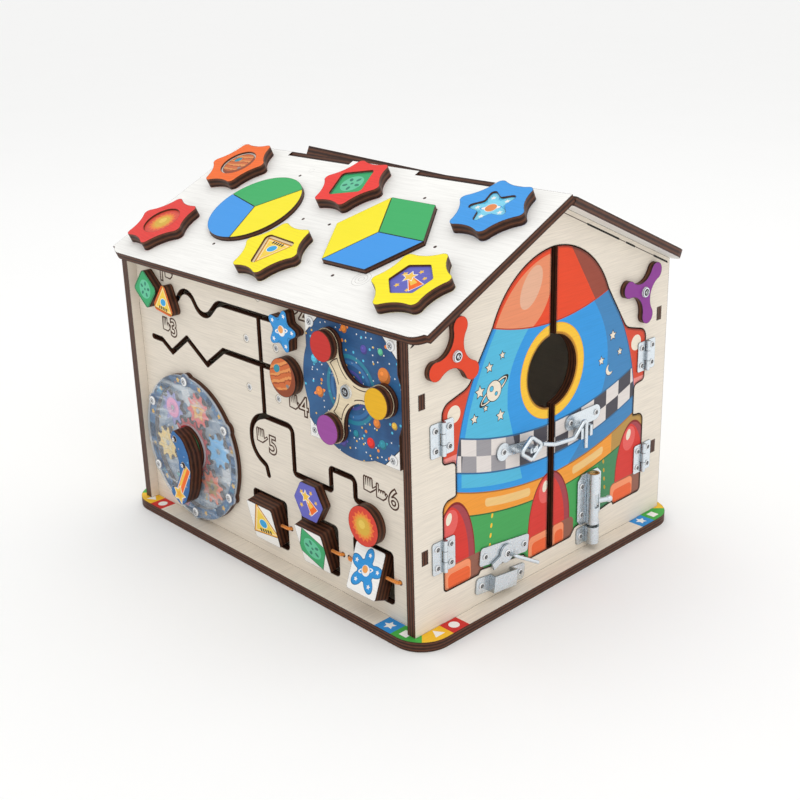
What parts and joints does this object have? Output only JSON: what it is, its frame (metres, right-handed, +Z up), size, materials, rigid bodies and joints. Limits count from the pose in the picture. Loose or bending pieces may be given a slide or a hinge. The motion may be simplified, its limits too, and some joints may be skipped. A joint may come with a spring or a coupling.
{
  "type": "busy board house",
  "caption": "House-shaped wooden busy board with rocket doors, latches, crank gears, maze sliders, spinner, turning tiles and a puzzle roof.",
  "frame": {"origin": "centre of the base's underside", "axes": "+Z up, ridge along Y, doors on the -Y gable, maze wall on the -X side"},
  "size_m": [0.3216, 0.3864, 0.3167],
  "materials": {
    "base_board": "satin",
    "front_gable": "satin",
    "back_gable": "satin",
    "maze_wall": "satin",
    "right_wall": "satin",
    "left_roof_panel": "satin",
    "right_roof_panel": "satin",
    "gable_hinge_leaves": "zinc plated",
    "latch_keepers": "zinc plated",
    "house_screws": "zinc plated",
    "gear_ring": "satin",
    "gear_cover": "clear",
    "pivot_pins": "zinc plated",
    "spinner_backplate": "satin",
    "elastic_cord": "woven",
    "left_door": "satin",
    "left_door_hinge_leaves": "zinc plated",
    "left_door_screws": "zinc plated",
    "hook_staple": "zinc plated",
    "latch_plate": "zinc plated",
    "right_door": "satin",
    "right_door_hinge_leaves": "zinc plated",
    "right_door_screws": "zinc plated",
    "hook_catch": "zinc plated",
    "bolt_housing": "zinc plated",
    "gate_hook": "zinc plated",
    "sliding_bolt": "zinc plated",
    "latch_lever": "zinc plated",
    "orange_knob": "satin",
    "purple_knob": "satin",
    "spinner": "satin",
    "drive_gear": "satin",
    "comet_crank": "satin",
    "purple_gear": "satin",
    "coral_gear": "satin",
    "blue_gear": "satin",
    "orange_gear": "satin",
    "teal_gear": "satin",
    "yellow_gear": "satin",
    "rocket_tile": "satin",
    "square_tile": "satin",
    "star_tile": "satin",
    "rhombus_slider": "satin",
    "rocket_slider": "satin",
    "star_slider": "satin",
    "planet_slider": "satin",
    "comet_slider": "satin",
    "sun_slider": "satin",
    "green_sector": "satin",
    "blue_sector": "satin",
    "yellow_sector": "satin",
    "green_rhombus": "satin",
    "yellow_rhombus": "satin",
    "blue_rhombus": "satin",
    "orange_block": "satin",
    "red_block": "satin",
    "blue_block": "satin",
    "scarlet_block": "satin",
    "amber_block": "satin",
    "yellow_block": "satin"
  },
  "bodies": {
    "house": {"base_board": "base_board", "front_gable": "front_gable", "back_gable": "back_gable", "maze_wall": "maze_wall", "right_wall": "right_wall", "left_roof_panel": "left_roof_panel", "right_roof_panel": "right_roof_panel", "gable_hinge_leaves": "gable_hinge_leaves", "latch_keepers": "latch_keepers", "house_screws": "house_screws", "gear_ring": "gear_ring", "gear_cover": "gear_cover", "pivot_pins": "pivot_pins", "spinner_backplate": "spinner_backplate", "elastic_cord": "elastic_cord"},
    "left_door": {"left_door": "left_door", "left_door_hinge_leaves": "left_door_hinge_leaves", "left_door_screws": "left_door_screws", "hook_staple": "hook_staple", "latch_plate": "latch_plate"},
    "right_door": {"right_door": "right_door", "right_door_hinge_leaves": "right_door_hinge_leaves", "right_door_screws": "right_door_screws", "hook_catch": "hook_catch", "bolt_housing": "bolt_housing"},
    "gate_hook": {"gate_hook": "gate_hook"},
    "sliding_bolt": {"sliding_bolt": "sliding_bolt"},
    "latch_lever": {"latch_lever": "latch_lever"},
    "orange_knob": {"orange_knob": "orange_knob"},
    "purple_knob": {"purple_knob": "purple_knob"},
    "spinner": {"spinner": "spinner"},
    "crank": {"drive_gear": "drive_gear", "comet_crank": "comet_crank"},
    "purple_gear": {"purple_gear": "purple_gear"},
    "coral_gear": {"coral_gear": "coral_gear"},
    "blue_gear": {"blue_gear": "blue_gear"},
    "orange_gear": {"orange_gear": "orange_gear"},
    "teal_gear": {"teal_gear": "teal_gear"},
    "yellow_gear": {"yellow_gear": "yellow_gear"},
    "rocket_tile": {"rocket_tile": "rocket_tile"},
    "square_tile": {"square_tile": "square_tile"},
    "star_tile": {"star_tile": "star_tile"},
    "rhombus_slider": {"rhombus_slider": "rhombus_slider"},
    "rocket_slider": {"rocket_slider": "rocket_slider"},
    "star_slider": {"star_slider": "star_slider"},
    "planet_slider": {"planet_slider": "planet_slider"},
    "comet_slider": {"comet_slider": "comet_slider"},
    "sun_slider": {"sun_slider": "sun_slider"},
    "green_sector": {"green_sector": "green_sector"},
    "blue_sector": {"blue_sector": "blue_sector"},
    "yellow_sector": {"yellow_sector": "yellow_sector"},
    "green_rhombus": {"green_rhombus": "green_rhombus"},
    "yellow_rhombus": {"yellow_rhombus": "yellow_rhombus"},
    "blue_rhombus": {"blue_rhombus": "blue_rhombus"},
    "orange_block": {"orange_block": "orange_block"},
    "red_block": {"red_block": "red_block"},
    "blue_block": {"blue_block": "blue_block"},
    "scarlet_block": {"scarlet_block": "scarlet_block"},
    "amber_block": {"amber_block": "amber_block"},
    "yellow_block": {"yellow_block": "yellow_block"}
  },
  "joints": [
    {"name": "left_door_hinge", "type": "hinge", "parent": "house", "child": "left_door", "pos_m": [-0.12, -0.1792, 0.108], "axis": [0, 0, 1], "range_deg": [-110, 0]},
    {"name": "right_door_hinge", "type": "hinge", "parent": "house", "child": "right_door", "pos_m": [0.122, -0.1792, 0.108], "axis": [0, 0, 1], "range_deg": [0, 110]},
    {"name": "hook_swing", "type": "hinge", "parent": "left_door", "child": "gate_hook", "pos_m": [-0.032, -0.185, 0.1226], "axis": [0, -1, 0], "range_deg": [0, 150]},
    {"name": "bolt_slide", "type": "slide", "parent": "right_door", "child": "sliding_bolt", "axis": [0, 0, 1], "range_m": [-0.008, 0.01]},
    {"name": "latch_turn", "type": "hinge", "parent": "left_door", "child": "latch_lever", "pos_m": [-0.053, -0.18, 0.041], "axis": [0, -1, 0], "range_deg": [0, 70]},
    {"name": "orange_knob_turn", "type": "hinge", "parent": "house", "child": "orange_knob", "pos_m": [-0.1086, -0.179, 0.2147], "axis": [0, -1, 0], "continuous": true},
    {"name": "purple_knob_turn", "type": "hinge", "parent": "house", "child": "purple_knob", "pos_m": [0.1102, -0.179, 0.213], "axis": [0, -1, 0], "continuous": true},
    {"name": "spinner_turn", "type": "hinge", "parent": "house", "child": "spinner", "pos_m": [-0.1475, -0.1128, 0.18309], "axis": [-1, 0, 0], "continuous": true},
    {"name": "crank_turn", "type": "hinge", "parent": "house", "child": "crank", "pos_m": [-0.1435, 0.1006, 0.0766], "axis": [-1, 0, 0], "continuous": true},
    {"name": "purple_gear_turn", "type": "hinge", "parent": "house", "child": "purple_gear", "pos_m": [-0.1435, 0.12607, 0.10695], "axis": [-1, 0, 0], "continuous": true},
    {"name": "coral_gear_turn", "type": "hinge", "parent": "house", "child": "coral_gear", "pos_m": [-0.1435, 0.08705, 0.11384], "axis": [-1, 0, 0], "continuous": true},
    {"name": "blue_gear_turn", "type": "hinge", "parent": "house", "child": "blue_gear", "pos_m": [-0.1435, 0.06158, 0.08348], "axis": [-1, 0, 0], "continuous": true},
    {"name": "orange_gear_turn", "type": "hinge", "parent": "house", "child": "orange_gear", "pos_m": [-0.1435, 0.07513, 0.04625], "axis": [-1, 0, 0], "continuous": true},
    {"name": "teal_gear_turn", "type": "hinge", "parent": "house", "child": "teal_gear", "pos_m": [-0.1435, 0.11415, 0.03936], "axis": [-1, 0, 0], "continuous": true},
    {"name": "yellow_gear_turn", "type": "hinge", "parent": "house", "child": "yellow_gear", "pos_m": [-0.1435, 0.13962, 0.06972], "axis": [-1, 0, 0], "continuous": true},
    {"name": "rocket_tile_turn", "type": "hinge", "parent": "house", "child": "rocket_tile", "pos_m": [-0.14325, -0.002, 0.0415], "axis": [0, -1, 0], "continuous": true},
    {"name": "square_tile_turn", "type": "hinge", "parent": "house", "child": "square_tile", "pos_m": [-0.14325, -0.064, 0.0415], "axis": [0, -1, 0], "continuous": true},
    {"name": "star_tile_turn", "type": "hinge", "parent": "house", "child": "star_tile", "pos_m": [-0.14325, -0.1254, 0.0415], "axis": [0, -1, 0], "continuous": true},
    {"name": "rhombus_slide", "type": "slide", "parent": "house", "child": "rhombus_slider", "axis": [0, 1, 0], "range_m": [0, 0.0045]},
    {"name": "rocket_slide", "type": "slide", "parent": "house", "child": "rocket_slider", "axis": [0, -0.9528, 0.3035], "range_m": [0, 0.008]},
    {"name": "star_slide", "type": "slide", "parent": "house", "child": "star_slider", "axis": [0, 1, 0], "range_m": [0, 0.075]},
    {"name": "planet_slide", "type": "slide", "parent": "house", "child": "planet_slider", "axis": [0, 1, 0], "range_m": [0, 0.078]},
    {"name": "comet_slide", "type": "slide", "parent": "house", "child": "comet_slider", "axis": [0, 0, 1], "range_m": [0, 0.013]},
    {"name": "sun_slide", "type": "slide", "parent": "house", "child": "sun_slider", "axis": [0, 0, 1], "range_m": [0, 0.0125]},
    {"name": "green_sector_lift", "type": "slide", "parent": "house", "child": "green_sector", "axis": [-0.4249, 0, 0.9053], "range_m": [0, 0.02]},
    {"name": "blue_sector_lift", "type": "slide", "parent": "house", "child": "blue_sector", "axis": [-0.4249, 0, 0.9053], "range_m": [0, 0.02]},
    {"name": "yellow_sector_lift", "type": "slide", "parent": "house", "child": "yellow_sector", "axis": [-0.4249, 0, 0.9053], "range_m": [0, 0.02]},
    {"name": "green_rhombus_lift", "type": "slide", "parent": "house", "child": "green_rhombus", "axis": [-0.4249, 0, 0.9053], "range_m": [0, 0.02]},
    {"name": "yellow_rhombus_lift", "type": "slide", "parent": "house", "child": "yellow_rhombus", "axis": [-0.4249, 0, 0.9053], "range_m": [0, 0.02]},
    {"name": "blue_rhombus_lift", "type": "slide", "parent": "house", "child": "blue_rhombus", "axis": [-0.4249, 0, 0.9053], "range_m": [0, 0.02]},
    {"name": "orange_block_turn", "type": "hinge", "parent": "house", "child": "orange_block", "pos_m": [-0.03354, 0.1523, 0.29609], "axis": [-0.4249, 0, 0.9053], "continuous": true},
    {"name": "red_block_turn", "type": "hinge", "parent": "house", "child": "red_block", "pos_m": [-0.0339, 0.0008, 0.29592], "axis": [-0.4249, 0, 0.9053], "continuous": true},
    {"name": "blue_block_turn", "type": "hinge", "parent": "house", "child": "blue_block", "pos_m": [-0.03336, -0.1489, 0.29618], "axis": [-0.4249, 0, 0.9053], "continuous": true},
    {"name": "scarlet_block_turn", "type": "hinge", "parent": "house", "child": "scarlet_block", "pos_m": [-0.11583, 0.1566, 0.25747], "axis": [-0.4249, 0, 0.9053], "continuous": true},
    {"name": "amber_block_turn", "type": "hinge", "parent": "house", "child": "amber_block", "pos_m": [-0.1161, 0.0044, 0.25735], "axis": [-0.4249, 0, 0.9053], "continuous": true},
    {"name": "yellow_block_turn", "type": "hinge", "parent": "house", "child": "yellow_block", "pos_m": [-0.11402, -0.1473, 0.25832], "axis": [-0.4249, 0, 0.9053], "continuous": true}
  ],
  "couplings": [
    {"joint": "right_door_hinge", "follows": "left_door_hinge", "ratio": -1},
    {"joint": "purple_gear_turn", "follows": "crank_turn", "ratio": -1.7778},
    {"joint": "coral_gear_turn", "follows": "crank_turn", "ratio": -1.7778},
    {"joint": "blue_gear_turn", "follows": "crank_turn", "ratio": -1.7778},
    {"joint": "orange_gear_turn", "follows": "crank_turn", "ratio": -1.7778},
    {"joint": "teal_gear_turn", "follows": "crank_turn", "ratio": -1.7778},
    {"joint": "yellow_gear_turn", "follows": "crank_turn", "ratio": -1.7778}
  ]
}
